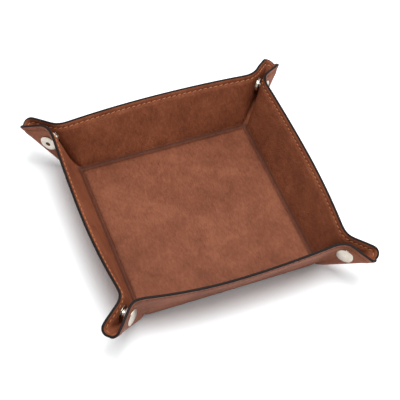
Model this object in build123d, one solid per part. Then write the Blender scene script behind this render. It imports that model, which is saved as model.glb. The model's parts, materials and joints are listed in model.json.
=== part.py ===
from build123d import *
import os
from math import atan, cos, degrees, radians, sin, sqrt, tan

# A square valet tray of two laminated skins, with a pinched ear at each corner.
# Lengths are in millimetres and angles in degrees. The origin is the centre of the underside, +Z is up,
# the front wall is at -Y and the right wall at +X.

QUARTER = 90.0

# Laminate: two skins with a stiffener board between them
skin_thickness = 1.05
board_thickness = 0.5
board_to_rim = 5.0
board_to_crease = 1.6
board_to_mitre = 5.0

# Floor and walls, measured on the inner face
floor_side = 104.4
wall_height = 32.2
lean_middle = 23.2
lean_corner = 17.0
fold_gap = 0.25
cut_overrun = 6.0

# Ears
fold_elevation = 38.0
sheet_corner_radius = 9.0
snap_half_gap = 1.6
leaf_half_gap = 3.4
leaf_rise_length = 14.0
halves_gap = 0.3
corner_slit = 1.3
ear_start = 3.6
hook_facets = 3

# Snap fasteners, one per corner, on a common axis square to the corner's diagonal plane
snap_radial = 15.0
snap_height = 22.5
cap_radius = 5.0
cap_dome = 1.5
cap_edge = 0.6
cap_wall = 0.35
socket_radius = 4.7
socket_height = 1.45
socket_wall = 0.25
socket_rim_radius = 4.1
socket_mouth_radius = 2.65
spring_wire = 0.42
spring_ring_radius = 3.0
spring_gap = 2.4
stud_radius = 4.6
stud_flange = 0.25
stud_neck_radius = 2.1
stud_head_radius = 2.35
stud_head_height = 0.4
rivet_curl = 0.45
rivet_gap = 0.1
post_disc_radius = 5.0
post_disc_thickness = 0.7
post_disc_edge = 0.45
post_radius = 1.9
post_bore_radius = 1.4
seat_gap = 0.02
turned_sides = 24

# Shares that shape the bowed walls and the dome of the caps
rim_bend_shares = (0.25, 0.6, 1.0)
rim_bow_shares = (1.0, 0.66, 0.0)
dome_shares = (1.0, 0.7, 0.35)

# Worked out from the sizes above
laminate = 2 * skin_thickness
half_side = floor_side / 2
bead_side = half_side + skin_thickness * tan((radians(QUARTER) - radians(lean_middle)) / 2)
board_inner = (laminate - board_thickness) / 2
board_outer = board_inner + board_thickness
fan_end = half_side - laminate
pinch_x = half_side + wall_height * sin(radians(lean_corner))
mitre_elevation = degrees(atan(1 / (sqrt(2) * tan(radians(lean_corner)))))
mitre_length = wall_height / cos(atan(sin(radians(lean_corner))))
tip_distance = sqrt(2) * wall_height
hook_radius = snap_half_gap - halves_gap / 2
leaf_radius = leaf_half_gap - halves_gap / 2
ear_middle = snap_half_gap + skin_thickness
mitre_shift = sqrt(2) * skin_thickness / cos(radians(lean_corner)) - ear_middle
inner_face = snap_half_gap - seat_gap
outer_face = snap_half_gap + laminate + seat_gap
post_hole_radius = post_radius + seat_gap

UP = Vector(0, 0, 1)

# The front right corner: outward along its diagonal, and square to it towards the front wall
DIAGONAL = Vector(1, -1, 0) / sqrt(2)
ASIDE = Vector(-1, -1, 0) / sqrt(2)
CORNER = Vector(half_side, -half_side, laminate)
FOLD = DIAGONAL * cos(radians(fold_elevation)) + UP * sin(radians(fold_elevation))
BELOW = DIAGONAL * sin(radians(fold_elevation)) - UP * cos(radians(fold_elevation))
SNAP_CENTRE = CORNER + DIAGONAL * snap_radial + UP * (snap_height - laminate)
leaf_start = (SNAP_CENTRE - CORNER).dot(FOLD) + cap_radius + halves_gap

# The front wall's right end: up its slope, its inner normal, and the axis that its ear half turns about
WALL_UP = Vector(0, -sin(radians(lean_corner)), cos(radians(lean_corner)))
WALL_NORMAL = Vector(0, cos(radians(lean_corner)), sin(radians(lean_corner)))
MITRE = (WALL_UP + Vector(sin(radians(lean_corner)), 0, 0)).normalized()
PAST_WALL = WALL_NORMAL.cross(MITRE)
MITRE_START = CORNER + DIAGONAL * mitre_shift + ASIDE * ear_middle

WALLS = ("front", "right", "back", "left")


def save(shape, name):
    shape.label = name
    export_step(shape, f"parts/{name}.step")


def turned(shape, wall_index):
    """Carries a piece of the front wall round to another wall."""
    return Rot(0, 0, QUARTER * wall_index) * shape


def mirrored(shape):
    """Carries a piece at the front right corner to the other end of the front wall."""
    return mirror(shape, about=Plane.YZ)


# Folds: each edge that a neighbour turns about is a round bead on the middle of the laminate

def bead_face(start_angle):
    """A quarter of a bead's section."""
    arc = CenterArc((0, 0), skin_thickness, start_angle, QUARTER)
    return make_face([arc, Line(arc @ 1, (0, 0)), Line((0, 0), arc @ 0)])


def floor_skin(base, start_angle):
    """One skin of the floor, with its half of the bead along each side."""
    side_length = 2 * bead_side
    skin = Pos(0, 0, base + skin_thickness / 2) * Box(side_length, side_length, skin_thickness)
    side = Plane(origin=(bead_side, bead_side, skin_thickness), x_dir=(1, 0, 0), z_dir=(0, -1, 0))
    bead = extrude(side * bead_face(start_angle), side_length)
    for index in range(4):
        skin = skin + turned(bead, index)
    return skin


def floor_board():
    side = floor_side - 2 * board_to_crease
    return Pos(0, 0, laminate / 2) * Box(side, side, board_thickness)


# Walls: a flat panel in the middle, and at each end a fan of panels about the end of the crease,
# so that the crease stays straight while the rim bows outward

def up_slope(lean):
    return Vector(0, -sin(radians(lean)), cos(radians(lean)))


def crease_point(x):
    return Vector(x, -half_side, laminate)


def rim_point(x, bow_share):
    lean = lean_corner + (lean_middle - lean_corner) * bow_share
    return crease_point(x) + up_slope(lean) * wall_height


def panel_normals():
    """The outward normals of the panels from the middle to the right end."""
    along = Vector(1, 0, 0)
    rim = [rim_point(fan_end * bend, bow) - crease_point(fan_end)
           for bend, bow in zip(rim_bend_shares, rim_bow_shares)]
    fan = [far.cross(near).normalized() for near, far in zip(rim, rim[1:])]
    return [up_slope(lean_middle).cross(along), *fan, up_slope(lean_corner).cross(along)]


def inside_panels(block, depth):
    """Cuts a block back to the wall's panels, at a depth behind the inner face."""
    for normal in panel_normals():
        plane = Plane(origin=crease_point(fan_end) + normal * depth, z_dir=normal)
        block = both_ends(block, lambda part: split(part, bisect_by=plane, keep=Keep.BOTTOM))
    return block


def wall_slab(near, far, low, high):
    """The wall between two depths behind the inner face and two heights up the slope."""
    slab = Pos(crease_point(0)) * Box(2 * (pinch_x + cut_overrun), 2 * wall_height, 3 * wall_height)
    slab = inside_panels(slab, far) - inside_panels(slab, near)
    for lean in (lean_middle, lean_corner):
        bottom = Plane(origin=crease_point(0) + up_slope(lean) * low, z_dir=up_slope(lean))
        top = Plane(origin=crease_point(0) + up_slope(lean) * high, z_dir=up_slope(lean))
        slab = split(split(slab, bisect_by=bottom, keep=Keep.TOP), bisect_by=top, keep=Keep.BOTTOM)
    return slab


def wall_end(distance):
    """The plane square to the front wall through its right mitre axis, moved into the wall."""
    return Plane(origin=MITRE_START - PAST_WALL * distance, z_dir=PAST_WALL)


def end_bead(start_angle):
    """One skin's half of the bead that the ear half turns about, trimmed at the rim."""
    plane = Plane(origin=MITRE_START, x_dir=PAST_WALL, z_dir=MITRE)
    bead = extrude(plane * bead_face(start_angle), mitre_length + cut_overrun)
    rim = Plane(origin=CORNER + WALL_UP * wall_height, z_dir=WALL_UP)
    return split(bead, bisect_by=rim, keep=Keep.BOTTOM)


def both_ends(slab, change):
    """Makes a change to the slab's right end, and the same to its left end."""
    return mirrored(change(mirrored(change(slab))))


def crease_clearance():
    length = 2 * (pinch_x + cut_overrun)
    rod = Cylinder(skin_thickness + fold_gap, length, rotation=(0, QUARTER, 0))
    return Pos(0, -bead_side, skin_thickness) * rod


def wall_board():
    slab = wall_slab(board_inner, board_outer, laminate + board_to_crease, wall_height - board_to_rim)
    return both_ends(slab, lambda part: split(part, bisect_by=wall_end(board_to_mitre), keep=Keep.BOTTOM))


def wall_skin(near, far, start_angle, board):
    slab = wall_slab(near, far, 0, wall_height)
    bead = end_bead(start_angle)
    slab = both_ends(slab, lambda part: split(part, bisect_by=wall_end(0), keep=Keep.BOTTOM) + bead)
    return slab - crease_clearance() - board


# Ears: each half is a flat panel that hooks round towards the other half along the fold.
# Past the snap the hook widens and the panel rises to it, which opens the tip as a leaf.

def at_fold(along, below, aside):
    """A place along the right corner's fold line, below it, and aside from the diagonal plane."""
    return CORNER + FOLD * along + BELOW * below + ASIDE * aside


def hook_point(along, radius, turn):
    return at_fold(along, radius * (sin(radians(turn)) - 1), halves_gap / 2 + radius * cos(radians(turn)))


def under_panels(start, end, start_radius, end_radius, depth):
    """The space between the diagonal plane and a length of the ear half's face at a depth."""
    frame = Plane(origin=at_fold(start, cut_overrun, 0), x_dir=FOLD, z_dir=ASIDE)
    space = frame * Box(end - start, wall_height + cut_overrun, cut_overrun, align=(Align.MIN,) * 3)
    for facet in range(hook_facets):
        turns = [QUARTER * place / hook_facets for place in (facet, facet + 1)]
        near, far = [hook_point(start, start_radius, turn) for turn in turns]
        normal = (far - near).cross(hook_point(end, end_radius, turns[0]) - near).normalized()
        space = split(space, bisect_by=Plane(origin=near + normal * depth, z_dir=normal), keep=Keep.BOTTOM)
    crest = hook_point(end, end_radius, 0)
    foot = at_fold(end, -leaf_rise_length - end_radius, snap_half_gap)
    rise = (crest - foot).cross(crest - hook_point(start, start_radius, 0)).normalized()
    flat_plane = Plane(origin=foot + ASIDE * depth, z_dir=ASIDE)
    rise_plane = Plane(origin=foot + rise * depth, z_dir=rise)
    flat = split(space, bisect_by=flat_plane, keep=Keep.BOTTOM)
    if end_radius == start_radius:
        return flat
    return flat + split(space, bisect_by=rise_plane, keep=Keep.BOTTOM)


def ear_form(depth):
    closed = under_panels(ear_start, leaf_start, hook_radius, hook_radius, depth)
    return closed + under_panels(leaf_start, tip_distance, hook_radius, leaf_radius, depth)


def ear_slab(near, far):
    """One skin of an ear half, kept clear of the other half, and more so towards the corner."""
    slab = ear_form(far) - ear_form(near)
    half_gap = at_fold(leaf_start, 0, halves_gap / 2)
    slit = at_fold(ear_start, 0, (halves_gap + corner_slit) / 2) - half_gap
    for normal in (ASIDE, slit.cross(BELOW).normalized()):
        slab = split(slab, bisect_by=Plane(origin=half_gap, z_dir=normal), keep=Keep.TOP)
    return slab


def on_diagonal(angle, distance):
    return Vector(distance * cos(radians(angle)), distance * sin(radians(angle)))


def ear_outline():
    """The outline of an ear half along the diagonal: under the rim, round the tip and past the fold."""
    tip = on_diagonal(fold_elevation, tip_distance)
    pinch = on_diagonal(mitre_elevation, mitre_length) - Vector(snap_half_gap, 0)
    rim = (tip - pinch).normalized()
    fold_end = on_diagonal(fold_elevation, tip_distance - (sqrt(2) - 1) * sheet_corner_radius)
    below = on_diagonal(fold_elevation - QUARTER, laminate + cut_overrun)
    round_start = tip - rim * sheet_corner_radius
    rounding = TangentArc(round_start, fold_end, tangent=rim)
    past_pinch = pinch - rim * 2 * cut_overrun
    past_corner = Vector(-2 * cut_overrun, 0)
    edges = [Line(past_pinch, round_start), rounding, Line(fold_end, fold_end + below),
             Line(fold_end + below, below), Line(below, past_corner), Line(past_corner, past_pinch)]
    plane = Plane(origin=CORNER - ASIDE * cut_overrun, x_dir=DIAGONAL, z_dir=ASIDE)
    return extrude(plane * make_face(edges), 3 * cut_overrun)


def mitre_clearance():
    plane = Plane(origin=MITRE_START - MITRE * cut_overrun, z_dir=MITRE)
    return extrude(plane * Circle(skin_thickness + fold_gap), mitre_length + 3 * cut_overrun)


def ear_skin(near, far):
    past_mitre = Plane(origin=MITRE_START, z_dir=MITRE.cross(ASIDE))
    slab = split(ear_slab(near, far) & ear_outline(), bisect_by=past_mitre, keep=Keep.TOP)
    return slab - mitre_clearance() - bore(0, cut_overrun, post_hole_radius)


# Snap fasteners: stacked from turned steps, with flat sides that are too many to show

def turned_step(start, end, start_radius, end_radius):
    """A straight or tapered step on the snap's axis, between two distances aside from the diagonal plane."""
    plane = Plane(origin=SNAP_CENTRE, x_dir=DIAGONAL, z_dir=ASIDE)
    turns = [4 * radians(QUARTER) * place / turned_sides for place in range(turned_sides)]
    low, high = [[plane.from_local_coords((radius * cos(turn), radius * sin(turn), place)) for turn in turns]
                 for place, radius in ((start, start_radius), (end, end_radius))]
    sides = [[low[index - 1], low[index], high[index], high[index - 1]] for index in range(turned_sides)]
    return Solid(Shell([Face(Wire.make_polygon(corners, close=True)) for corners in (low, high, *sides)]))


def bore(start, end, radius):
    return turned_step(start, end, radius, radius)


def snap_cap():
    """The domed cap outside, with its hollow post through both skins and the socket."""
    shoulder = outer_face + cap_edge
    under = shoulder - cap_wall
    rivet_end = inner_face - rivet_curl
    cap = turned_step(outer_face, shoulder, cap_radius, cap_radius)
    for low, high in zip(dome_shares, dome_shares[1:]):
        heights = [shoulder + (cap_dome - cap_edge) * (1 - share ** 2) for share in (low, high)]
        cap = cap + turned_step(*heights, cap_radius * low, cap_radius * high)
    cap = cap - bore(outer_face, under, cap_radius - cap_wall) + bore(rivet_end, under, post_radius)
    return cap - bore(rivet_end, under, post_bore_radius)


def snap_socket():
    """The socket on the inner face: a body that narrows to a lip rolled in over the spring, and a mouth."""
    lip = inner_face - socket_height
    floor = inner_face - socket_wall
    body = turned_step(lip, inner_face, socket_rim_radius, socket_radius)
    cavity = bore(lip + socket_wall, floor, socket_rim_radius - socket_wall)
    return body - cavity - bore(lip, floor, socket_mouth_radius) - bore(lip, inner_face, post_hole_radius)


def snap_spring():
    """The split ring inside the socket, spread to let the stud's head by."""
    start = inner_face - socket_height + socket_wall + seat_gap
    end = start + spring_wire
    ring = bore(start, end, spring_ring_radius) - bore(start, end, spring_ring_radius - spring_wire)
    gap = Plane(origin=SNAP_CENTRE + DIAGONAL * spring_ring_radius, x_dir=DIAGONAL, z_dir=ASIDE)
    return ring - gap * Box(spring_ring_radius, spring_gap, laminate)


def snap_stud():
    """The stud on the other half: a flange and a waisted hollow head that enters the socket."""
    front = -inner_face + stud_flange
    end = inner_face - rivet_curl - rivet_gap
    brow = end - stud_head_height
    stud = bore(-inner_face, front, stud_radius) + turned_step(front, brow, stud_neck_radius, stud_head_radius)
    stud = stud + turned_step(brow, end, stud_head_radius, stud_neck_radius)
    return stud - bore(-inner_face, end, post_hole_radius)


def snap_post():
    """The hollow post that rivets the stud on, with its disc outside."""
    top = -outer_face - post_disc_thickness
    end = -inner_face + rivet_curl
    disc = turned_step(top, -outer_face, post_disc_radius - post_disc_edge, post_disc_radius)
    return disc + bore(-outer_face, end, post_radius) - bore(top, end, post_bore_radius)


# Building and naming the pieces

os.makedirs("parts", exist_ok=True)

board = floor_board()
save(board, "floor_board")
save(floor_skin(0, -QUARTER) - board, "floor_outer_skin")
save(floor_skin(skin_thickness, 0) - board, "floor_inner_skin")

board = wall_board()
wall_pieces = {
    "board": board,
    "inner_skin": wall_skin(0, skin_thickness, 0, board),
    "outer_skin": wall_skin(skin_thickness, laminate, -QUARTER, board),
}
for index, wall in enumerate(WALLS):
    for piece_name, piece in wall_pieces.items():
        save(turned(piece, index), f"{wall}_wall_{piece_name}")

ear_pieces = {
    "inner_skin": ear_skin(0, skin_thickness),
    "outer_skin": ear_skin(skin_thickness, laminate),
}
for index, wall in enumerate(WALLS):
    right_end = WALLS[(index + 1) % 4]
    left_end = WALLS[(index - 1) % 4]
    for piece_name, piece in ear_pieces.items():
        save(turned(piece, index), f"{wall}_wall_{right_end}_ear_{piece_name}")
        save(turned(mirrored(piece), index), f"{wall}_wall_{left_end}_ear_{piece_name}")

snap_pieces = {
    "cap": snap_cap(),
    "socket": snap_socket(),
    "spring": snap_spring(),
    "stud": snap_stud(),
    "post": snap_post(),
}
for piece_name, piece in snap_pieces.items():
    save(piece, f"front_right_snap_{piece_name}")
    save(mirrored(piece), f"front_left_snap_{piece_name}")
    save(turned(piece, 2), f"back_left_snap_{piece_name}")
    save(turned(mirrored(piece), 2), f"back_right_snap_{piece_name}")
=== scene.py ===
import json
import bmesh
import bpy
import numpy as np
from math import atan, cos, pi, radians, sin, sqrt, tan
from mathutils import Matrix, Vector

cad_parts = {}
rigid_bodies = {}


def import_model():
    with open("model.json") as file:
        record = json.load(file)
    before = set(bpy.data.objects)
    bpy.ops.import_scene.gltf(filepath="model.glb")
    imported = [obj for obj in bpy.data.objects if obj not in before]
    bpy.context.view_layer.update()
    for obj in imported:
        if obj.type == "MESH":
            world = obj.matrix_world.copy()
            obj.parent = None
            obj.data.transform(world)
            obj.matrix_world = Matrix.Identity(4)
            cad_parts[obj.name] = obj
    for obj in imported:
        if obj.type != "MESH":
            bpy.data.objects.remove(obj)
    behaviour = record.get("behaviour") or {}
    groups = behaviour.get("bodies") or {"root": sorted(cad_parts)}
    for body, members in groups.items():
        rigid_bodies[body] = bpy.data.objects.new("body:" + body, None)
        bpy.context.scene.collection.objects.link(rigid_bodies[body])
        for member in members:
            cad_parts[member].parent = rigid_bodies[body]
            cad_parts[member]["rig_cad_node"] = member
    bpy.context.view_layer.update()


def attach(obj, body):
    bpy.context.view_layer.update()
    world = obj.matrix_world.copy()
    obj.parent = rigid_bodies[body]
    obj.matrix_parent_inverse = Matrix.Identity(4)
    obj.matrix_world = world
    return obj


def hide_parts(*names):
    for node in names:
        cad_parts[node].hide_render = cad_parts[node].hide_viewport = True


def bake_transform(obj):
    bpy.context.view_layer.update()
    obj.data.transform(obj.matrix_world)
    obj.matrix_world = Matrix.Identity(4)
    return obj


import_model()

# The sheet in mm, as in the part: half its floor, a wall's height up its slope, its thickness of two skins
HALF, H, T = 52.2, 32.2, 2.1
SKIN = T / 2
CORNER_R = 9.0
ROOT2 = sqrt(2.0)
WALLS = ("front", "right", "back", "left")
OUT = {"front": (0, -1, 0), "right": (1, 0, 0), "back": (0, 1, 0), "left": (-1, 0, 0)}

# Angles: the walls lean out, more in their middles, and each ear's fold rises from the floor's corner
LEAN_CORNER, LEAN_MIDDLE = radians(17.0), radians(23.2)
FOLD = radians(38.0)
MITRE_ANGLE = atan(sin(LEAN_CORNER))
MITRE_UP = atan(1 / (ROOT2 * tan(LEAN_CORNER)))
EAR_UP = (MITRE_UP + FOLD) / 2

# Folds: half the crease and how far its painted shade reaches on floor and wall, half the bend from wall
# to ear, and the hook of an ear half round to its partner
CREASE = 1.7
SHADE_ON_FLOOR, SHADE_ON_WALL = 2.6, 1.2
BEND, BEND_SHARE = 5.0, 0.42
GAP = 1.6
HOOK_STEEPNESS, HOOK_SHARE, HOOK_ARC_SHARE = 0.70, 0.55, 0.8
LEAF_START, LEAF_RUN = 29.0, 13.0
SQUEEZE, THINNEST = 0.95, 0.25

# Relief of a skin's face: the stitches' groove, the swell over the board, the soft rim and its thinning
STITCH_INSET = 2.9
GROOVE, GROOVE_WIDTH = 0.24, 0.55
BOARD_SWELL, BOARD_FOOT, BOARD_FOOT_RUN, BOARD_TOP, BOARD_TOP_RUN = 0.22, 1.0, 3.0, 3.6, 1.6
RIM_BEAD, RIM_BEAD_INSET, RIM_BEAD_WIDTH = 0.10, 1.35, 0.5
RIM_THIN, RIM_THIN_RUN = 0.40, 4.5
PAINT = 0.35

# How far this tray departs from an even one, in mm: where each half is pinched, each ear's tip, how far
# each half opens as a leaf, and how far each wall's rim bellies out. A half is named by its wall and the
# wall next to it.
PINCH = {("front", "right"): (1.5, -2.2, -0.85), ("right", "front"): (0.25, -1.95, -1.25),
         ("right", "back"): (1.7, -0.15, 0.55), ("back", "right"): (2.0, 0.35, 1.15),
         ("back", "left"): (-2.25, 0.8, 0.15), ("left", "back"): (-3.4, 3.35, 2.1),
         ("left", "front"): (-0.55, 0.5, 0.0), ("front", "left"): (0.05, 0.65, 0.25)}
TIP = {"front_right": (-2.85, -0.15, -1.3), "back_right": (2.15, -3.1, -2.1),
       "back_left": (-1.2, -1.15, -1.15), "front_left": (0.6, 0.95, 0.7)}
LEAF = {("front", "right"): 1.7, ("right", "front"): 1.8, ("right", "back"): 0.4, ("back", "right"): 2.6,
        ("back", "left"): 1.5, ("left", "back"): 1.1, ("left", "front"): 2.1, ("front", "left"): 1.55}
BELLY = {"front": 1.2, "right": 0.2, "back": 1.5, "left": 0.7}

# Limits of the sums, and the steps that slopes are measured over, in mm
SMALL, TINY = 1e-6, 1e-12
FACE_STEP, NORMAL_STEP = 0.06, 0.08
MM = 0.001

# Square to the plane between the halves of the front right ear, and out along it
ASIDE = np.array([-1.0, -1.0, 0.0]) / ROOT2
DIAGONAL = np.array([1.0, -1.0, 0.0]) / ROOT2


# Vectors and easing
def smooth(t):
    t = np.clip(t, 0, 1)
    return t * t * (3 - 2 * t)


def bump_at(distance, width):
    return np.exp(-(distance / width) ** 2)


def unit(v):
    return v / np.maximum(np.linalg.norm(v, axis=-1, keepdims=True), TINY)


def square_to(v, way):
    """What is left of some vectors without their part along a way."""
    return v - (v @ way)[..., None] * way


# Shape of the folded sheet, by a place's distance X from the wall's middle and height h above its crease
def mitre_x(h):
    return HALF - ROOT2 * GAP + sin(LEAN_CORNER) * h


def ear_width(h):
    return HALF + h - mitre_x(h)


def bend_width(h):
    return np.minimum(BEND, BEND_SHARE * ear_width(h))


def on_fold(X, h):
    return np.abs(X - HALF - h) < SMALL


def wall_point(X, h):
    lean = LEAN_CORNER + (LEAN_MIDDLE - LEAN_CORNER) * (1 - np.minimum(1, np.abs(X) / HALF) ** 2)
    return np.stack([X, -HALF - np.sin(lean) * h, T + np.cos(lean) * h], -1)


def corner_point(out, up, aside):
    """A point by its distance out along the corner's diagonal, above the floor's top and beside it."""
    return np.stack([HALF + (out - aside) / ROOT2, -HALF - (out + aside) / ROOT2, T + up], -1)


def ear_point(X, h, opening):
    """Past the mitre: along a row of the ear half to the hook at its fold, and out where the leaf opens."""
    width = ear_width(h)
    from_fold = HALF + h - X
    along = h / cos(MITRE_ANGLE)
    mitre = np.stack([-GAP + along * cos(MITRE_UP), along * sin(MITRE_UP)], -1)
    fold = np.stack([ROOT2 * h * cos(FOLD), ROOT2 * h * sin(FOLD)], -1)
    length = np.linalg.norm(fold - mitre, axis=-1)
    reach = smooth((ROOT2 * h - LEAF_START) / LEAF_RUN)
    hook = np.minimum(GAP * (1 + reach) / HOOK_STEEPNESS, HOOK_SHARE * length)
    top = GAP + opening * reach
    arc = np.minimum(pi / 2 * np.sqrt((hook ** 2 + top ** 2) / 2), HOOK_ARC_SHARE * width)
    turn = np.clip(from_fold / arc, 0, 1) * pi / 2
    straight = (length - hook) / np.maximum(width - arc, SMALL)
    rho = np.where(from_fold < arc, hook * (1 - np.cos(turn)), hook + (from_fold - arc) * straight)
    P = fold + (mitre - fold) * (rho / np.maximum(length, TINY))[..., None]
    out_along_ear = P[..., 0] * cos(EAR_UP) + P[..., 1] * sin(EAR_UP)
    level = GAP + opening * smooth((out_along_ear - LEAF_START) / LEAF_RUN)
    return corner_point(P[..., 0], P[..., 1], np.where(from_fold < arc, level * np.sin(turn), level))


def inner_face(X, h, opening):
    """The inner face of the right half of the front wall and its ear half, at a place on the flat sheet."""
    X, h = np.broadcast_arrays(np.asarray(X, float), np.asarray(h, float))
    m, w = mitre_x(h), bend_width(h)
    wall, ear = wall_point(np.minimum(X, m), h), ear_point(np.maximum(X, m), h, opening)
    t = np.clip((X - m + w) / (2 * w), 0, 1)[..., None]
    bend = ((1 - t) ** 2 * wall_point(m - w, h) + 2 * t * (1 - t) * wall_point(m, h)
            + t ** 2 * ear_point(m + w, h, opening))
    return np.where((np.abs(X - m) < w)[..., None], bend, np.where((X < m)[..., None], wall, ear))


def face_normal(X, h, opening):
    across = inner_face(X + FACE_STEP, h, opening) - inner_face(X - FACE_STEP, h, opening)
    up = inner_face(X, h + FACE_STEP, opening) - inner_face(X, h - FACE_STEP, opening)
    return unit(np.cross(across, up))


def rim_distance(X, h):
    """How far a place on the flat sheet is inside its outline."""
    dx, dy = X - (HALF + H - CORNER_R), h - (H - CORNER_R)
    corner = CORNER_R - np.sqrt(np.maximum(dx, 0) ** 2 + np.maximum(dy, 0) ** 2)
    return np.where(dx > 0, corner, H - h)


def relief(X, h, depth):
    """Small swells and hollows of a skin's face: the stitch groove, the board's edge and the soft rim."""
    d = rim_distance(X, h)
    board = BOARD_SWELL * smooth((h - BOARD_FOOT) / BOARD_FOOT_RUN) * smooth((d - BOARD_TOP) / BOARD_TOP_RUN)
    rim = RIM_BEAD * bump_at(d - RIM_BEAD_INSET, RIM_BEAD_WIDTH) - RIM_THIN * (1 - smooth(d / RIM_THIN_RUN))
    amount = board + rim - GROOVE * bump_at(d - STITCH_INSET, GROOVE_WIDTH)
    return np.where(depth <= 0, amount, np.where(depth >= T - SMALL, -amount, 0 * amount))


class Side:
    """Half of a wall with its ear half: where a place on the flat sheet is, in the tray."""

    def __init__(self, wall, neighbour):
        self.turns = WALLS.index(wall)
        self.left = neighbour == WALLS[self.turns - 1]
        self.wall, self.wall_body = wall, f"{wall}_wall"
        self.ear_body = f"{wall}_wall_{neighbour}_ear"
        self.tag = f"{wall}_wall_{'left' if self.left else 'right'}"
        corner = f"{wall}_{neighbour}" if wall in ("front", "back") else f"{neighbour}_{wall}"
        self.opening = LEAF[(wall, neighbour)]
        self.pinch, self.tip = np.array(PINCH[(wall, neighbour)]), np.array(TIP[corner])
        self.belly = np.array(OUT[wall]) * BELLY[wall]

    def world(self, P):
        """Points of the front wall's right half, mirrored and turned to this side's place."""
        if self.left:
            P = P * np.array([-1, 1, 1])
        for _ in range(self.turns):
            P = np.stack([-P[..., 1], P[..., 0], P[..., 2]], -1)
        return P

    def shift(self, X, h):
        """How far the tray's unevenness moves a place: not at all at the crease, and most at the rim."""
        share = (np.clip(X / mitre_x(h), 0, 1) ** 2)[..., None]
        out_on_ear = smooth((X - mitre_x(h)) / np.maximum(ear_width(h), SMALL))[..., None]
        corner = self.pinch + out_on_ear * (self.tip - self.pinch)
        return np.clip(h / H, 0, None)[..., None] * ((1 - share) * self.belly + share * corner)

    def depth_share(self, X, h):
        """The laminate is squeezed thinner in the bend where it narrows to the corner."""
        w = bend_width(h)
        thin = np.clip(SQUEEZE * w / T, THINNEST, 1)
        near = 1 - smooth(np.abs(X - mitre_x(h)) / np.maximum(2 * w, SMALL))
        return 1 - (1 - thin) * near

    def at(self, X, h, depth):
        """A point at a depth behind the inner face."""
        X, h, depth = np.broadcast_arrays(*(np.asarray(v, float) for v in (X, h, depth)))
        n = face_normal(X, h, self.opening)
        n = unit(np.where(on_fold(X, h)[..., None], square_to(n, ASIDE), n))
        back = depth * self.depth_share(X, h) - relief(X, h, depth)
        return self.world(inner_face(X, h, self.opening) + n * back[..., None]) + self.shift(X, h)

    def normal(self, X, h, depth):
        """The normal of the sheet's face at a depth; at the fold it lies in the plane between the halves."""
        fold = on_fold(X, h)
        e = NORMAL_STEP
        X = np.minimum(X, HALF + h - 3 * e)
        n = np.cross(self.at(X + e, h, depth) - self.at(X - e, h, depth),
                     self.at(X, h + e, depth) - self.at(X, h - e, depth))
        return unit(np.where(fold[..., None], square_to(n, self.world(ASIDE)), n))

    def face_way(self, X, h):
        """Away from the inner face, into the sheet."""
        return self.world(face_normal(X, h, self.opening))

    def sheet_uv(self, X, h):
        """The same place on the uncut flat sheet, in mm."""
        return self.world(np.stack([X, -HALF - h, 0 * X], -1))[..., :2]


SIDES = {}
for wall, following in zip(WALLS, WALLS[1:] + WALLS[:1]):
    SIDES[(wall, following)] = Side(wall, following)
    SIDES[(following, wall)] = Side(following, wall)

# Columns and rows of the sheet: columns are crowded at the ear's fold, rows at the stitches and the rim
WALL_STEPS, BEND_STEPS, EAR_STEPS, EAR_CROWDING = 22, 12, 26, 1.7
COLUMNS = {"wall": [("wall", i / WALL_STEPS) for i in range(WALL_STEPS + 1)],
           "bend": [("bend", -1 + 2 * i / BEND_STEPS) for i in range(BEND_STEPS + 1)],
           "ear": [("ear", 1 - (1 - i / EAR_STEPS) ** EAR_CROWDING) for i in range(EAR_STEPS + 1)]}
ALONG = COLUMNS["wall"] + COLUMNS["bend"][1:] + COLUMNS["ear"][1:]
RIM_INSETS = (5.4, 4.6, 4.0, 3.6, 3.3, 3.1, 2.9, 2.7, 2.5, 2.2, 1.8, 1.4, 1.0, 0.65, PAINT)
LOWER_ROWS, LOWER_CROWDING = 17, 0.92
HALVINGS, LOWEST_TOP = 50, 15.0


def outline_h(X, inset):
    """How high the sheet reaches at X, inside its outline by an inset."""
    corner_x, corner_h, r = HALF + H - CORNER_R, H - CORNER_R, CORNER_R - inset
    past = np.maximum(X, corner_x) - corner_x
    return np.where(X <= corner_x, H - inset, corner_h + np.sqrt(np.maximum(r * r - past ** 2, 0)))


def column_x(kind, t, h):
    m, w = mitre_x(h), bend_width(h)
    if kind == "wall":
        return (m - w) * t
    if kind == "bend":
        return m + w * t
    return m + w + (HALF + h - m - w) * t


def top_h(kind, t, inset):
    """Where a column meets the outline, by halving."""
    low, high = LOWEST_TOP, H
    for _ in range(HALVINGS):
        middle = (low + high) / 2
        if outline_h(np.array(column_x(kind, t, middle)), inset) > middle:
            low = middle
        else:
            high = middle
    return (low + high) / 2


def row_heights(kind, t):
    upper = [top_h(kind, t, inset) for inset in RIM_INSETS]
    shares = [(i / LOWER_ROWS) ** LOWER_CROWDING for i in range(LOWER_ROWS)]
    return [CREASE + (upper[0] - CREASE) * share for share in shares] + upper


def region_of(X, h):
    m, w = mitre_x(h), bend_width(h)
    if X < m - w:
        return "wall"
    return "bend" if X < m + w else "ear"


# Meshes
UV_SCALE = 0.01


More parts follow.
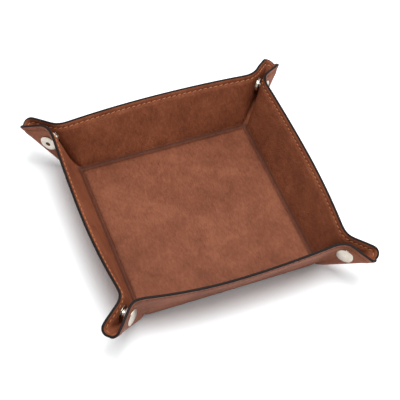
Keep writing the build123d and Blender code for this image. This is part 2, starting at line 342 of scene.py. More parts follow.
def new_mesh(name, verts, faces, materials, face_mats=None, uvs=None, crease=None):
    mesh = bpy.data.meshes.new(name)
    mesh.from_pydata([tuple(v) for v in np.asarray(verts) * MM], [], faces)
    for material in materials:
        mesh.materials.append(material)
    if face_mats is not None:
        mesh.polygons.foreach_set("material_index", face_mats)
    mesh.polygons.foreach_set("use_smooth", [True] * len(mesh.polygons))
    if uvs is not None:
        layer = mesh.uv_layers.new(name="sheet")
        loops = np.zeros(len(mesh.loops), np.int32)
        mesh.loops.foreach_get("vertex_index", loops)
        layer.data.foreach_set("uv", (np.asarray(uvs)[loops] * UV_SCALE).astype(np.float32).ravel())
    # The crease attribute holds how strong the painted shade along a fold is.
    if crease is not None:
        marks = mesh.attributes.new("crease", "FLOAT", "POINT")
        marks.data.foreach_set("value", np.asarray(crease, np.float32))
    mesh.validate()
    mesh.update()
    obj = bpy.data.objects.new(name, mesh)
    bpy.context.scene.collection.objects.link(obj)
    return obj


def outward(obj, merge=None):
    """Turns a closed mesh's faces so that they look out, with points nearer than merge made one."""
    bm = bmesh.new()
    bm.from_mesh(obj.data)
    if merge is not None:
        bmesh.ops.remove_doubles(bm, verts=bm.verts, dist=merge)
    bmesh.ops.recalc_face_normals(bm, faces=bm.faces)
    bm.to_mesh(obj.data)
    bm.free()


def shade(obj, normals, broad):
    """Gives the first faces their surface's own normals, so that pieces side by side shade as one."""
    mesh = obj.data
    corners = np.zeros(len(mesh.loops), np.int32)
    mesh.loops.foreach_get("vertex_index", corners)
    sizes = np.zeros(len(mesh.polygons), np.int32)
    mesh.polygons.foreach_get("loop_total", sizes)
    flat = np.zeros(3 * len(mesh.polygons), np.float32)
    mesh.polygons.foreach_get("normal", flat)
    owner = np.repeat(np.arange(len(sizes)), sizes)
    flat = flat.reshape(-1, 3)[owner]
    own = normals.reshape(-1, 3)[corners]
    own = own * np.where((own * flat).sum(1) < 0, -1, 1)[:, None]
    mesh.normals_split_custom_set(np.where((owner < broad)[:, None], own, flat).tolist())


def closed_skin(front, back):
    """Vertices and faces of a closed slab between two grids: its two broad sides first, then its border."""
    n, m = front.shape[:2]
    verts = np.concatenate([front.reshape(-1, 3), back.reshape(-1, 3)])
    idx = np.arange(n * m).reshape(n, m).tolist()
    under = n * m
    faces = []
    for i in range(n - 1):
        for j in range(m - 1):
            a, b, c, d = idx[i][j], idx[i + 1][j], idx[i + 1][j + 1], idx[i][j + 1]
            faces.append((a, b, c, d))
            faces.append((a + under, d + under, c + under, b + under))
    ring = [idx[i][0] for i in range(n)] + [idx[n - 1][j] for j in range(1, m)]
    ring += [idx[i][m - 1] for i in range(n - 2, -1, -1)] + [idx[0][j] for j in range(m - 2, 0, -1)]
    for a, b in zip(ring, ring[1:] + ring[:1]):
        faces.append((b, a, a + under, b + under))
    return verts, faces


def skin_piece(name, front, back, mat, uv, crease, normals=None):
    """A skin between two grids of points, which share their places on the sheet and their painted crease
    shade.
    """
    verts, faces = closed_skin(front, back)
    obj = new_mesh(name, verts, faces, [mat], uvs=np.concatenate([uv.reshape(-1, 2)] * 2),
                   crease=np.concatenate([crease.ravel()] * 2))
    outward(obj)
    if normals is not None:
        broad = 2 * (front.shape[0] - 1) * (front.shape[1] - 1)
        shade(obj, np.concatenate([normals] * 2), broad)
    return obj


def tube_faces(rings, points):
    """The sides of a tube of rings, one after another, with flat ends."""
    faces = []
    for i in range(rings - 1):
        for j in range(points):
            a, b = i * points + j, i * points + (j + 1) % points
            faces.append((a, b, b + points, a + points))
    faces.append(tuple(reversed(range(points))))
    faces.append(tuple((rings - 1) * points + j for j in range(points)))
    return faces


def painted_crease_shade(past_crease):
    """How strong the painted shade at the fold between floor and wall is, by the distance past it up the
    wall.
    """
    return bump_at(past_crease, np.where(past_crease < 0, SHADE_ON_FLOOR, SHADE_ON_WALL))


# Materials, from a few helpers for their nodes
def new_material(name):
    mat = bpy.data.materials.new(name)
    mat.use_nodes = True
    tree = mat.node_tree
    tree.nodes.clear()
    out = tree.nodes.new("ShaderNodeOutputMaterial")
    bsdf = tree.nodes.new("ShaderNodeBsdfPrincipled")
    tree.links.new(bsdf.outputs[0], out.inputs[0])
    return mat, tree, bsdf


def srgb(r, g, b):
    """A colour of 0 to 255 as the shaders' linear one."""
    scaled = [c / 255 for c in (r, g, b)]
    return tuple(c / 12.92 if c <= 0.04045 else ((c + 0.055) / 1.055) ** 2.4 for c in scaled) + (1.0,)


def grey(value):
    return (value, value, value, 1)


def node(tree, kind, **inputs):
    made = tree.nodes.new(kind)
    for key, value in inputs.items():
        made.inputs[key].default_value = value
    return made


def noise(tree, place, **inputs):
    made = node(tree, "ShaderNodeTexNoise", **inputs)
    tree.links.new(place, made.inputs["Vector"])
    return made.outputs[0]


def ramp(tree, fac, stops):
    made = tree.nodes.new("ShaderNodeValToRGB")
    while len(made.color_ramp.elements) < len(stops):
        made.color_ramp.elements.new(0.5)
    for element, (position, colour) in zip(made.color_ramp.elements, stops):
        element.position = position
        element.color = colour
    tree.links.new(fac, made.inputs[0])
    return made.outputs[0]


def feed(tree, socket, value):
    """Sets a socket to a plain value, or links another socket to it."""
    if isinstance(value, (int, float, tuple)):
        socket.default_value = value
    else:
        tree.links.new(value, socket)


def mix(tree, fac, a, b):
    made = tree.nodes.new("ShaderNodeMix")
    made.data_type = "RGBA"
    fac_in, a_in, b_in, colour_out = 0, 6, 7, 2
    for socket, value in ((fac_in, fac), (a_in, a), (b_in, b)):
        feed(tree, made.inputs[socket], value)
    return made.outputs[colour_out]


def math_node(tree, operation, a, b):
    made = tree.nodes.new("ShaderNodeMath")
    made.operation = operation
    feed(tree, made.inputs[0], a)
    feed(tree, made.inputs[1], b)
    return made.outputs[0]


def weighted_sum(tree, *terms):
    total = 0.0
    for value, weight in terms:
        total = math_node(tree, "ADD", total, math_node(tree, "MULTIPLY", value, weight))
    return total


def sheet_place(tree):
    """Places on the flat sheet, where one unit is 100 mm."""
    uv = tree.nodes.new("ShaderNodeUVMap")
    uv.uv_map = "sheet"
    return uv.outputs[0]


def object_place(tree):
    return tree.nodes.new("ShaderNodeTexCoord").outputs["Object"]


def two_tones(tree, bsdf, fac, dark, light):
    tree.links.new(ramp(tree, fac, [(0.3, dark), (0.7, light)]), bsdf.inputs["Base Color"])


def uneven_roughness(tree, bsdf, fac, low, high):
    tree.links.new(ramp(tree, fac, [(0.3, grey(low)), (0.7, grey(high))]), bsdf.inputs["Roughness"])


def bumps(tree, bsdf, height, distance):
    bump = node(tree, "ShaderNodeBump", Strength=1.0, Distance=distance * MM)
    tree.links.new(height, bump.inputs["Height"])
    tree.links.new(bump.outputs[0], bsdf.inputs["Normal"])


# How much the pebbles' valleys darken the leather, and how far the painted shade at the creases darkens it
PEBBLE_TINT, CREASE_SHADE_TINT = 0.20, 0.8
GRAIN, EDGE_GRAIN, THREAD_GRAIN = 0.16, 0.1, 0.05
MATT = 0.9


def leather(name, dark, mid, light, crease_shade_colour):
    """Leather with soft blots, a mottle drawn out one way, small pebbles, and painted shade at its creases.
    """
    mat, tree, bsdf = new_material(name)
    place = sheet_place(tree)
    cloud = noise(tree, place, Scale=3.2, Detail=3.0, Roughness=0.55, Distortion=0.3)
    blot = noise(tree, place, Scale=11.0, Detail=4.0, Roughness=0.6, Distortion=0.6)
    drawn = node(tree, "ShaderNodeMapping", Rotation=(0, 0, radians(38)), Scale=(1.9, 0.8, 1.0))
    tree.links.new(place, drawn.inputs["Vector"])
    fine = noise(tree, drawn.outputs[0], Scale=40.0, Detail=4.0, Roughness=0.62, Distortion=0.5)
    wrinkle = noise(tree, drawn.outputs[0], Scale=150.0, Detail=3.0, Roughness=0.6)
    pebble = node(tree, "ShaderNodeTexVoronoi", Scale=95.0, Randomness=1.0)
    pebble.feature = "DISTANCE_TO_EDGE"
    tree.links.new(drawn.outputs[0], pebble.inputs["Vector"])
    cells = ramp(tree, pebble.outputs["Distance"], [(0.0, grey(0)), (0.14, grey(1))])

    mottle = weighted_sum(tree, (cloud, 0.36), (blot, 0.30), (fine, 0.34))
    colour = ramp(tree, mottle, [(0.40, dark), (0.50, mid), (0.60, light)])
    between_pebbles = math_node(tree, "SUBTRACT", 1.0, cells)
    colour = mix(tree, math_node(tree, "MULTIPLY", between_pebbles, PEBBLE_TINT), colour, dark)
    # Painted shade: the colour darkens towards the crease shade colour by the crease attribute, most at the
    # fold.
    shade_attribute = tree.nodes.new("ShaderNodeAttribute")
    shade_attribute.attribute_name = "crease"
    colour = mix(tree, math_node(tree, "MULTIPLY", shade_attribute.outputs["Fac"], CREASE_SHADE_TINT), colour, crease_shade_colour)
    tree.links.new(colour, bsdf.inputs["Base Color"])
    uneven_roughness(tree, bsdf, fine, 0.47, 0.65)
    bsdf.inputs["Specular IOR Level"].default_value = 0.2
    height = weighted_sum(tree, (cells, 0.55), (wrinkle, 0.6), (fine, 1.6), (blot, 1.6))
    bumps(tree, bsdf, height, GRAIN)
    return mat


def edge_paint():
    mat, tree, bsdf = new_material("edge_paint")
    wear = noise(tree, sheet_place(tree), Scale=26.0, Detail=4.0, Roughness=0.65)
    stops = [(0.35, srgb(13, 9, 8)), (0.6, srgb(22, 15, 13)), (0.78, srgb(44, 31, 26))]
    tree.links.new(ramp(tree, wear, stops), bsdf.inputs["Base Color"])
    uneven_roughness(tree, bsdf, wear, 0.55, 0.70)
    bsdf.inputs["Specular IOR Level"].default_value = 0.15
    bumps(tree, bsdf, wear, EDGE_GRAIN)
    return mat


def thread(name, dark, light):
    mat, tree, bsdf = new_material(name)
    twist = noise(tree, object_place(tree), Scale=2600.0, Detail=2.0)
    two_tones(tree, bsdf, twist, dark, light)
    bsdf.inputs["Roughness"].default_value = 0.5
    bumps(tree, bsdf, twist, THREAD_GRAIN)
    return mat


def matt(name, dark, light, **noise_inputs):
    mat, tree, bsdf = new_material(name)
    two_tones(tree, bsdf, noise(tree, object_place(tree), **noise_inputs), dark, light)
    bsdf.inputs["Roughness"].default_value = MATT
    return mat


def nickel():
    mat, tree, bsdf = new_material("nickel")
    haze = noise(tree, object_place(tree), Scale=420.0, Detail=4.0, Roughness=0.6)
    two_tones(tree, bsdf, haze, srgb(176, 166, 154), srgb(196, 186, 175))
    bsdf.inputs["Metallic"].default_value = 1.0
    uneven_roughness(tree, bsdf, haze, 0.20, 0.30)
    return mat


# The last colour of each leather is its painted shade at the creases.
FLOOR_LEATHER = leather("leather_floor_paint", dark=srgb(103, 56, 36), mid=srgb(119, 68, 46),
                        light=srgb(134, 80, 56), crease_shade_colour=srgb(58, 27, 16))
INNER_LEATHER = leather("leather_inner_paint", dark=srgb(104, 55, 34), mid=srgb(120, 66, 42),
                        light=srgb(135, 78, 52), crease_shade_colour=srgb(52, 23, 13))
OUTER_LEATHER = leather("leather_outer_paint", dark=srgb(112, 60, 39), mid=srgb(130, 74, 50),
                        light=srgb(146, 87, 62), crease_shade_colour=srgb(72, 36, 23))
EDGE, NICKEL = edge_paint(), nickel()
HOLE = matt("needle_hole", srgb(26, 12, 8), srgb(38, 18, 12), Scale=900.0)
BOARD = matt("board_fibre", srgb(150, 132, 104), srgb(178, 160, 130), Scale=700.0, Detail=4.0)
THREADS = {"inner": thread("thread_inner", srgb(150, 84, 46), srgb(190, 118, 70)),
           "outer": thread("thread_outer", srgb(98, 52, 33), srgb(128, 72, 47))}

# How each piece moves: wall and ear pieces ride with their bodies; the bend's pieces stay where they are
# made, though ways across the bend are still worked out at these places
BEND_H, BEND_SPAN, BLEND_SHARE = 20.0, 6.0, 0.78


def blend_in_mm(obj):
    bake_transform(obj)


def place_bend(obj, side):
    """Works out the ways across the bend, square to its face and to the mitre, but only keeps the piece
    where it stands.
    """
    m, w = mitre_x(BEND_H), bend_width(BEND_H)
    on_wall = side.at(m - w * BLEND_SHARE, BEND_H, SKIN)
    on_ear = side.at(m + w * BLEND_SHARE, BEND_H, SKIN)
    high, low = BEND_H + BEND_SPAN, BEND_H - BEND_SPAN
    up = unit(side.at(mitre_x(high), high, SKIN) - side.at(mitre_x(low), low, SKIN))
    across = square_to(square_to(on_ear - on_wall, side.face_way(m, BEND_H)), up)
    blend_in_mm(obj)


def place_piece(obj, side, region):
    if region == "wall":
        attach(obj, side.wall_body)
    elif region == "ear":
        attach(obj, side.ear_body)
    else:
        place_bend(obj, side)


# The skins of a wall's half, its bend and its ear half
def side_skins(side, region):
    columns = COLUMNS[region]
    hs = np.array([row_heights(kind, t) for kind, t in columns])
    X = np.array([[column_x(kind, t, h) for h in row] for (kind, t), row in zip(columns, hs)])
    middle = side.at(X, hs, SKIN)
    for skin, depth, mat in (("inner", 0.0, INNER_LEATHER), ("outer", T, OUTER_LEATHER)):
        # Each skin carries painted shade at its foot, by its height above the crease.
        obj = skin_piece(f"{side.tag}_{region}_{skin}", side.at(X, hs, depth), middle, mat,
                         side.sheet_uv(X, hs), painted_crease_shade(hs), side.normal(X, hs, depth))
        if region == "wall" and not side.left:
            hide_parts(f"{side.wall_body}_{skin}_skin")
        if region == "ear":
            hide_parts(f"{side.ear_body}_{skin}_skin")
        place_piece(obj, side, region)


# The painted edge, worked out along the whole rim so that its stretches meet smoothly
EDGE_STEPS, EDGE_ROUNDNESS = 13, 0.6
EDGE_TUCK, EDGE_SINK = 0.15, 0.1
EDGE_PROUD, EDGE_PAST = 0.03, 0.10
EDGE_UV_SPAN = 3.0


def edge_places(columns, inset):
    h = np.array([top_h(kind, t, inset) for kind, t in columns])
    X = np.array([column_x(kind, t, v) for (kind, t), v in zip(columns, h)])
    return X, h


def edge_grid(side, columns):
    """Rings of points round the painted edge, one for each column, with their normals."""
    X1, h1 = edge_places(columns, PAINT)
    X0, h0 = edge_places(columns, 0.0)
    inner, outer = side.at(X1, h1, 0.0), side.at(X1, h1, T)
    away = unit(side.at(X0, h0, SKIN) - side.at(X1, h1, SKIN))
    through = unit(outer - inner)
    ring = [inner + through * EDGE_TUCK - away * EDGE_SINK]
    for i in range(EDGE_STEPS):
        a = pi * i / (EDGE_STEPS - 1)
        across = inner + (outer - inner) * (1 - cos(a)) / 2
        bulge = away * (PAINT + EDGE_PAST) * sin(a) ** EDGE_ROUNDNESS
        ring.append(across - through * EDGE_PROUD * cos(a) + bulge)
    ring.append(outer - through * EDGE_TUCK - away * EDGE_SINK)
    rings = np.stack(ring, 1)
    n = unit(np.cross(np.gradient(rings, axis=0), np.roll(rings, -1, 1) - np.roll(rings, 1, 1)))
    n[-1] = unit(square_to(n[-1], side.world(ASIDE)))
    return rings, n, side.sheet_uv(X0, h0)


def painted_edge(name, rings, normals, uv):
    n, m = rings.shape[:2]
    uvs = np.repeat(uv[:, None, :], m, axis=1) + np.linspace(0, EDGE_UV_SPAN, m)[None, :, None]
    obj = new_mesh(name, rings.reshape(-1, 3), tube_faces(n, m), [EDGE], uvs=uvs.reshape(-1, 2))
    outward(obj)
    shade(obj, normals, (n - 1) * m)
    return obj


def side_edge(side):
    beyond_middle = [("wall", -1 / WALL_STEPS)]
    rings, normals, uv = edge_grid(side, beyond_middle + ALONG)
    first = len(beyond_middle)
    for region, columns in COLUMNS.items():
        last = first + len(columns)
        name = f"{side.tag}_{region}_painted_edge"
        obj = painted_edge(name, rings[first:last], normals[first:last], uv[first:last])
        place_piece(obj, side, region)
        first = last - 1


# Creases between the floor and the walls, which keep their place when a wall turns
CREASE_STEPS = 9


def crease_rows(side, X0, X1, depth):
    """Points from the floor, round the crease, to the wall's first row, for columns from X0 to X1."""
    level, fold_line = np.full_like(X0, T), np.full_like(X0, -HALF)
    on_floor = np.stack([X0 * (HALF - CREASE) / HALF, fold_line + CREASE, level], -1)[:, None]
    at_fold = np.stack([X0, fold_line, level], -1)[:, None]
    on_wall = inner_face(X1, CREASE, side.opening)[:, None]
    t = np.linspace(0, 1, CREASE_STEPS)[None, :, None]
    curve = (1 - t) ** 2 * on_floor + 2 * t * (1 - t) * at_fold + t ** 2 * on_wall
    slope = 2 * (1 - t) * (at_fold - on_floor) + 2 * t * (on_wall - at_fold)
    n = unit(np.cross(np.gradient(curve, axis=0), slope))
    n[:, 0] = (0, 0, -1)
    rows = side.world(curve + n * depth)
    first_row = side.at(X1, CREASE, depth)[:, None]
    return rows + (first_row - rows[:, -1:]) * smooth(t)


def side_crease(side):
    X0, X1 = (np.array([column_x(kind, t, h) for kind, t in ALONG]) for h in (0.0, CREASE))
    s = np.linspace(0, 1, CREASE_STEPS)
    X = X0[:, None] * (1 - s) + X1[:, None] * s
    hs = np.broadcast_to(-CREASE + 2 * CREASE * s, X.shape)
    middle = crease_rows(side, X0, X1, SKIN)
    out, up = np.array(OUT[side.wall], float), np.array([0.0, 0.0, 1.0])
    for skin, depth, mat in (("inner", 0.0, INNER_LEATHER), ("outer", T, OUTER_LEATHER)):
        front = crease_rows(side, X0, X1, depth)
        normals = unit(np.cross(np.gradient(front, axis=0), np.gradient(front, axis=1)))
        normals[:, 0] = up
        normals[:, -1] = side.normal(X1, np.full_like(X1, CREASE), depth)
        # The crease's skins carry painted shade, darkest at the fold.
        obj = skin_piece(f"{side.tag}_crease_{skin}", front, middle, mat,
                         side.sheet_uv(X, hs), painted_crease_shade(hs), normals)
        blend_in_mm(obj)


# The floor, which swells a little over its board
FLOOR_STEPS = 64
FLOOR_SWELL, FLOOR_SWELL_RUN = 0.16, 7.0


def floor_skins():
    edge = HALF - CREASE
    line = np.linspace(-edge, edge, FLOOR_STEPS + 1)
    x, y = np.meshgrid(line, line, indexing="ij")
    near_edge = edge - np.maximum(np.abs(x), np.abs(y))
    top = T + FLOOR_SWELL * smooth(near_edge / FLOOR_SWELL_RUN)
    middle = np.stack([x, y, SKIN + 0 * x], -1)
    for skin, z, mat, slot in (("inner", top, FLOOR_LEATHER, "leather_floor"),
                               ("outer", 0 * x, OUTER_LEATHER, "leather_outer")):
        # Both floor skins carry painted shade towards their edges, at the folds into the walls.
        obj = skin_piece(f"floor_{skin}", np.stack([x, y, z], -1), middle, mat, np.stack([x, y], -1),
                         painted_crease_shade(-near_edge - CREASE))
        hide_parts(f"floor_{skin}_skin")
        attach(obj, "floor")


# Boards inside the walls and the floor
BOARD_DEPTHS = (0.8, 1.3)
BOARD_LOW, BOARD_HIGH, BOARD_END = T + 1.6, H - 5.0, 5.6
BOARD_COLUMNS, BOARD_ROWS = 41, 15


def board_layer(halves, depth):
    heights = np.linspace(BOARD_LOW, BOARD_HIGH, BOARD_ROWS)
    columns = []
    for u in np.linspace(-1, 1, BOARD_COLUMNS):
        side = halves[0] if u < 0 else halves[1]
        columns.append(side.at(abs(u) * (mitre_x(heights) - BOARD_END), heights, depth))
    return np.array(columns)


def wall_board(wall):
    i = WALLS.index(wall)
    halves = SIDES[(wall, WALLS[i - 1])], SIDES[(wall, WALLS[(i + 1) % 4])]
    verts, faces = closed_skin(*(board_layer(halves, depth) for depth in BOARD_DEPTHS))
    obj = new_mesh(f"{wall}_wall_board_inside", verts, faces, [BOARD])
    outward(obj)
    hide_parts(f"{wall}_wall_board")
    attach(obj, f"{wall}_wall")


def floor_board():
    for obj in bpy.data.objects:
        if obj.get("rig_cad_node") and obj.name.startswith("floor_board"):
            obj.data.materials.clear()
            obj.data.materials.append(BOARD)


# Stitches along the rim, each with a needle hole at its far end
PITCH = 3.05
STITCH_R, STITCH_STRAIGHT = CORNER_R - STITCH_INSET, HALF + H - CORNER_R
STITCH_LENGTH = STITCH_STRAIGHT + STITCH_R * pi / 4
STITCH_SHARE, STITCH_STEPS, STITCH_SLANT = 0.36, 9, 0.22
STITCH_LIFT, STITCH_SINK, STITCH_ARCH = 0.30, 0.12, 0.7
THREAD_R, THREAD_FLATNESS, THREAD_POINTS = 0.27, 0.75, 8
THREAD_END_SHARE, THREAD_TAPER = 0.45, 0.6
HOLE_POINTS, HOLE_PROUD, HOLE_SUNK = 10, 0.03, 0.10
HOLE_TOP, HOLE_BOTTOM = (0.34, 0.26), (0.30, 0.22)


def stitch_line(along):
    """The place on the flat sheet at a distance along the stitches from the wall's middle."""
    round_corner = np.maximum(along - STITCH_STRAIGHT, 0) / STITCH_R
    X = np.minimum(along, STITCH_STRAIGHT) + STITCH_R * np.sin(round_corner)
    return X, H - CORNER_R + STITCH_R * np.cos(round_corner)


def lay_of_thread(path, across):
    """A tube along a short path, thick in the middle and thin where it dives into the leather."""
    verts = []
    n = len(path)
    for i, point in enumerate(path):
        way = unit(path[min(i + 1, n - 1)] - path[max(i - 1, 0)])
        u = unit(square_to(across[i], way))
        v = np.cross(way, u)
        r = THREAD_R * (THREAD_END_SHARE + (1 - THREAD_END_SHARE) * sin(pi * i / (n - 1)) ** THREAD_TAPER)
        for k in range(THREAD_POINTS):
            a = 2 * pi * k / THREAD_POINTS
            verts.append(point + u * r * cos(a) + v * r * THREAD_FLATNESS * sin(a))
    return verts, tube_faces(n, THREAD_POINTS)


def stitch(side, middle, pitch, depth, outward_sign):
    """One stitch, with its way at its far end."""
    along = middle + STITCH_SHARE * pitch * np.linspace(-1, 1, STITCH_STEPS)
    X, h = stitch_line(along)
    P = side.at(X, h, depth)
    n = side.face_way(X, h) * outward_sign
    way = unit(np.gradient(P, axis=0))
    across = np.cross(n, way)
    arch = np.maximum(np.sin(np.linspace(0, pi, STITCH_STEPS)), 0) ** STITCH_ARCH
    slant = STITCH_SLANT * np.linspace(-1, 1, STITCH_STEPS)
    path = P + n * (STITCH_LIFT * arch - STITCH_SINK)[:, None] + across * slant[:, None]
    return *lay_of_thread(path, across), way[-1]


def needle_hole(side, along, way, depth, outward_sign):
    """A shallow oval plug, dark, where the thread goes through."""
    X, h = stitch_line(along)
    centre, n = side.at(X, h, depth), side.face_way(X, h) * outward_sign
    across = np.cross(n, way)
    way = np.cross(across, n)
    verts = []
    for height, (length, width) in ((HOLE_PROUD, HOLE_TOP), (-HOLE_SUNK, HOLE_BOTTOM)):
        for k in range(HOLE_POINTS):
            a = 2 * pi * k / HOLE_POINTS
            verts.append(centre + n * height + way * length * cos(a) + across * width * sin(a))
    return verts, tube_faces(2, HOLE_POINTS)


class Pile:
    """Meshes gathered into one, with a material number for each face."""

    def __init__(self):
        self.verts, self.faces, self.face_mats = [], [], []

    def add(self, verts, faces, material):
        base = len(self.verts)
        self.verts += verts
        self.faces += [tuple(base + k for k in face) for face in faces]
        self.face_mats += [material] * len(faces)


def side_stitches(side, skin, depth, outward_sign):
    count = round(STITCH_LENGTH / PITCH)
    pitch = STITCH_LENGTH / count
    piles = {region: Pile() for region in COLUMNS}
    for i in range(count):
        middle = (i + 0.5) * pitch
        pile = piles[region_of(*stitch_line(middle))]
        verts, faces, way = stitch(side, middle, pitch, depth, outward_sign)
        pile.add(verts, faces, 0)
        pile.add(*needle_hole(side, middle + 0.5 * pitch, way, depth, outward_sign), 1)
    for region, pile in piles.items():
        if not pile.verts:
            continue
        obj = new_mesh(f"{side.tag}_{region}_{skin}_stitches", np.array(pile.verts), pile.faces,
                       [THREADS[skin], HOLE], face_mats=pile.face_mats)
        outward(obj)
        place_piece(obj, side, region)


# Snap fasteners: radii from their axis, and places along it from the ear's middle plane
SNAPS = (("front", "right"), ("back", "right"), ("back", "left"), ("front", "left"))
SNAP_OUT, SNAP_UP = 15.0, 22.5 - T
SEAT = 0.02
INNER_SEAT, OUTER_SEAT = GAP - SEAT, GAP + T + SEAT
PLATE = 0.25
POST_R, POST_HOLE_R = 1.9, 1.4
HUB_R = 1.92
RIVET = INNER_SEAT - PLATE - 0.2
STUD_END = RIVET - 0.1
CAP_R, CAP_FOOT, CAP_RISE, CAP_CROWN, CAP_INSIDE = 5.0, 0.55, 0.95, 2.3, 0.3
CAP_STEPS = 14
LIP = INNER_SEAT - 1.45
WIRE_R, SPRING_R, SPRING_TURN = 0.22, 2.8, radians(310)
SPRING_STEPS, SPRING_POINTS = 56, 10
SMALL_ROUND, ROUND_STEPS, ROUND_MOST = 0.02, 4, 0.45
LATHE_STEPS, AXIS_R, MERGE = 72, 1e-4, 1e-6
SEARCH_LOW, SEARCH_HIGH, SEARCH_ROWS, SEARCH_COLUMNS = 5.0, 31.0, 261, 200


def rounded(points):
    """Rounds the corners of a closed outline of (radius, place) points, or (radius, place, rounding)."""
    out = []
    n = len(points)
    for i, point in enumerate(points):
        r = point[2] if len(point) > 2 else SMALL_ROUND
        before, here, after = (np.array(points[(i + k) % n][:2], float) for k in (-1, 0, 1))
        back, on = before - here, after - here
        back_length, on_length = np.linalg.norm(back), np.linalg.norm(on)
        r = min(r, ROUND_MOST * back_length, ROUND_MOST * on_length)
        start, end = here + back / back_length * r, here + on / on_length * r
        for t in (k / ROUND_STEPS for k in range(ROUND_STEPS + 1)):
            out.append((1 - t) ** 2 * start + 2 * t * (1 - t) * here + t ** 2 * end)
    return np.array(out)


def cap_profile():
    """A dome with a rolled rim, and the hollow post that rivets it."""
    radii = [CAP_R * k / CAP_STEPS for k in range(CAP_STEPS + 1)]
    dome = [(r, OUTER_SEAT + CAP_FOOT + CAP_RISE * (1 - (r / CAP_R) ** CAP_CROWN)) for r in radii]
    rim = [(5.06, 0.42), (5.02, 0.15), (4.9, 0.0), (4.6, 0.05), (4.6, CAP_INSIDE)]
    inside = OUTER_SEAT + CAP_INSIDE
    post = [(POST_R, inside), (POST_R, RIVET), (POST_HOLE_R, RIVET), (POST_HOLE_R, inside), (0, inside)]
    return dome + [(r, OUTER_SEAT + up) for r, up in rim] + post


def socket_profile():
    """A flat plate and a ring wall with a lip, which keeps the spring."""
    plate = INNER_SEAT - PLATE
    return rounded([(HUB_R, INNER_SEAT), (4.7, INNER_SEAT, 0.08), (4.7, plate, 0.08), (4.1, plate, 0.05),
                    (4.1, LIP, 0.45), (2.65, LIP, 0.12), (2.65, LIP + PLATE, 0.05), (3.85, LIP + PLATE, 0.2),
                    (3.85, plate), (HUB_R, plate)])


def stud_profile():
    """A flat plate and a head with a waist below it, which the spring grips."""
    plate = PLATE - INNER_SEAT
    head = STUD_END - PLATE
    return rounded([(HUB_R, -INNER_SEAT), (4.6, -INNER_SEAT, 0.06), (4.6, plate, 0.08), (2.4, plate, 0.2),
                    (2.1, head - PLATE, 0.15), (2.35, head, 0.15), (2.1, STUD_END, 0.1), (HUB_R, STUD_END)])


def post_profile():
    """A disc with a hollow middle, and the post that rivets the stud."""
    top, foot = -OUTER_SEAT - 0.7, 0.45 - INNER_SEAT
    return rounded([(POST_HOLE_R, top, 0.15), (4.0, top - 0.02, 1.2), (5.0, -OUTER_SEAT - 0.22, 0.25),
                    (5.0, -OUTER_SEAT, 0.05), (POST_R, -OUTER_SEAT), (POST_R, foot, 0.05),
                    (POST_HOLE_R, foot)])


def lathe(name, outline, centre, axis, x_dir):
    """A nickel piece turned round the axis."""
    y_dir = np.cross(axis, x_dir)
    verts, faces = [], []
    n = len(outline)
    for k in range(LATHE_STEPS):
        a = 2 * pi * k / LATHE_STEPS
        out = x_dir * cos(a) + y_dir * sin(a)
        verts += [centre + out * max(r, AXIS_R) + axis * place for r, place in outline]
        this, following = k * n, (k + 1) % LATHE_STEPS * n
        for i, j in zip(range(n), [*range(1, n), 0]):
            faces.append((this + i, this + j, following + j, following + i))
    obj = new_mesh(name, np.array(verts), faces, [NICKEL])
    outward(obj, merge=MERGE)
    return obj


def ring_spring(name, centre, axis, x_dir):
    """The split ring that lies in the socket."""
    y_dir = np.cross(axis, x_dir)
    place = LIP + PLATE + WIRE_R + SEAT
    verts = []
    for k in range(SPRING_STEPS + 1):
        a = SPRING_TURN * k / SPRING_STEPS
        out = x_dir * cos(a) + y_dir * sin(a)
        for j in range(SPRING_POINTS):
            b = 2 * pi * j / SPRING_POINTS
            verts.append(centre + out * (SPRING_R + WIRE_R * cos(b)) + axis * (place + WIRE_R * sin(b)))
    obj = new_mesh(name, np.array(verts), tube_faces(SPRING_STEPS + 1, SPRING_POINTS), [NICKEL])
    outward(obj)
    return obj


def snap_shift(side):
    """How far the tray's unevenness moves the snap, at the place on the sheet nearest its centre."""
    places = []
    for h in np.linspace(SEARCH_LOW, SEARCH_HIGH, SEARCH_ROWS):
        X = np.linspace(mitre_x(h), HALF + h, SEARCH_COLUMNS)
        P = ear_point(X, np.full_like(X, h), side.opening)
        out, up = (P[:, 0] - P[:, 1] - 2 * HALF) / ROOT2, P[:, 2] - T
        off = (out - SNAP_OUT) ** 2 + (up - SNAP_UP) ** 2
        nearest = int(np.argmin(off))
        places.append((off[nearest], X[nearest], h))
    _, X, h = min(places)
    return side.shift(X, h)


def snap(cap_wall, stud_wall):
    """One corner's snap: cap and socket on one ear half, stud and post on the other."""
    side = SIDES[(cap_wall, stud_wall)]
    cap_body, stud_body = side.ear_body, SIDES[(stud_wall, cap_wall)].ear_body
    name = f"{cap_wall}_{stud_wall}"
    centre = side.world(corner_point(SNAP_OUT, SNAP_UP, 0.0)) + snap_shift(side)
    axis, diagonal = side.world(ASIDE), side.world(DIAGONAL)
    for piece, profile, body in (("cap", cap_profile, cap_body), ("socket", socket_profile, cap_body),
                                 ("stud", stud_profile, stud_body), ("post", post_profile, stud_body)):
        obj = lathe(f"{name}_nickel_{piece}", profile(), centre, axis, diagonal)
        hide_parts(f"{name}_snap_{piece}")
        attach(obj, body)
    obj = ring_spring(f"{name}_ring_spring", centre, axis, diagonal)
    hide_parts(f"{name}_snap_spring")
    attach(obj, cap_body)


# The studio: a pale floor and an even white surround
FLOOR_SIZE, FLOOR_DROP = 6.0, 0.00005
WORLD_LIGHT = 0.55


def seen_directly(tree):
    """Whether a ray comes from the camera, a gloss or a pane, and doesn't only bring light."""
    path = tree.nodes.new("ShaderNodeLightPath").outputs
    other = math_node(tree, "MAXIMUM", path["Is Glossy Ray"], path["Is Transmission Ray"])
    return math_node(tree, "MAXIMUM", path["Is Camera Ray"], other)


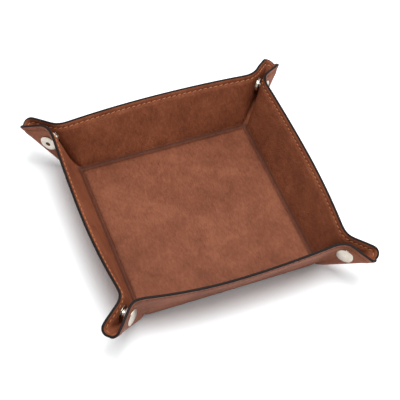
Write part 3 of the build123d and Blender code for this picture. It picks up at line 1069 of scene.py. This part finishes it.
def studio_floor():
    bpy.ops.mesh.primitive_plane_add(size=FLOOR_SIZE, location=(0, 0, -FLOOR_DROP))
    ground = bpy.context.object
    ground.name = "studio_floor"
    mat, tree, bsdf = new_material("studio_floor")
    colour = mix(tree, seen_directly(tree), grey(0.80), (0.95, 0.985, 1.0, 1))
    tree.links.new(colour, bsdf.inputs["Base Color"])
    bsdf.inputs["Roughness"].default_value = MATT
    bsdf.inputs["Specular IOR Level"].default_value = 0.0
    ground.data.materials.append(mat)


def studio_world():
    world = bpy.data.worlds.new("studio")
    bpy.context.scene.world = world
    world.use_nodes = True
    tree = world.node_tree
    tree.nodes.clear()
    out = tree.nodes.new("ShaderNodeOutputWorld")
    light = node(tree, "ShaderNodeBackground", Color=grey(1), Strength=WORLD_LIGHT)
    backdrop = node(tree, "ShaderNodeBackground", Strength=1.0)
    mixer = tree.nodes.new("ShaderNodeMixShader")
    for socket, source in enumerate((seen_directly(tree), light.outputs[0], backdrop.outputs[0])):
        tree.links.new(source, mixer.inputs[socket])
    tree.links.new(mixer.outputs[0], out.inputs[0])


def area_light(name, place, target, size, power):
    light = bpy.data.lights.new(name, "AREA")
    light.shape = "DISK"
    light.size = size
    light.energy = power
    lamp = bpy.data.objects.new(name, light)
    bpy.context.scene.collection.objects.link(lamp)
    lamp.location = place
    lamp.rotation_euler = (Vector(target) - Vector(place)).to_track_quat("-Z", "Y").to_euler()


# The camera, solved from the photograph: its turn, height and roll, its place in mm and its lens
CAMERA_TURN, CAMERA_HEIGHT, CAMERA_ROLL = radians(-23.876), radians(52.588), radians(3.634)
CAMERA_TARGET, CAMERA_DISTANCE = (6.841, 9.552, 0.0), 697.76
SENSOR_WIDTH, FOCAL_PIXELS, PICTURE_PIXELS = 36.0, 1215.98, 400


def photo_camera():
    turn, height, roll = CAMERA_TURN, CAMERA_HEIGHT, CAMERA_ROLL
    back = Vector((sin(turn) * cos(height), -cos(turn) * cos(height), sin(height)))
    right = Vector((cos(turn), sin(turn), 0))
    up = back.cross(right)
    rolled_right, rolled_up = right * cos(roll) + up * sin(roll), up * cos(roll) - right * sin(roll)
    data = bpy.data.cameras.new("photo_camera")
    data.sensor_width = SENSOR_WIDTH
    data.sensor_fit = "HORIZONTAL"
    data.lens = SENSOR_WIDTH * FOCAL_PIXELS / PICTURE_PIXELS
    data.clip_start, data.clip_end = 0.01, 20
    camera = bpy.data.objects.new("photo_camera", data)
    bpy.context.scene.collection.objects.link(camera)
    pose = Matrix((rolled_right, rolled_up, back)).transposed().to_4x4()
    pose.translation = (Vector(CAMERA_TARGET) + back * CAMERA_DISTANCE) * MM
    camera.matrix_world = pose
    bpy.context.scene.camera = camera


# The tray and its studio
for side in SIDES.values():
    for region in COLUMNS:
        side_skins(side, region)
    side_edge(side)
for side in SIDES.values():
    side_crease(side)
floor_skins()
for wall in WALLS:
    wall_board(wall)
floor_board()
for side in SIDES.values():
    side_stitches(side, "inner", 0.0, -1.0)
    side_stitches(side, "outer", T, 1.0)
for cap_wall, stud_wall in SNAPS:
    snap(cap_wall, stud_wall)

studio_floor()
studio_world()
area_light("key_light", place=(0.10, -0.04, 1.3), target=(0, 0, 0.01), size=0.95, power=20.0)
area_light("side_light", place=(1.1, -0.5, 0.7), target=(0, 0, 0.01), size=0.8, power=3.0)
photo_camera()
bpy.context.scene.view_settings.view_transform = "Standard"
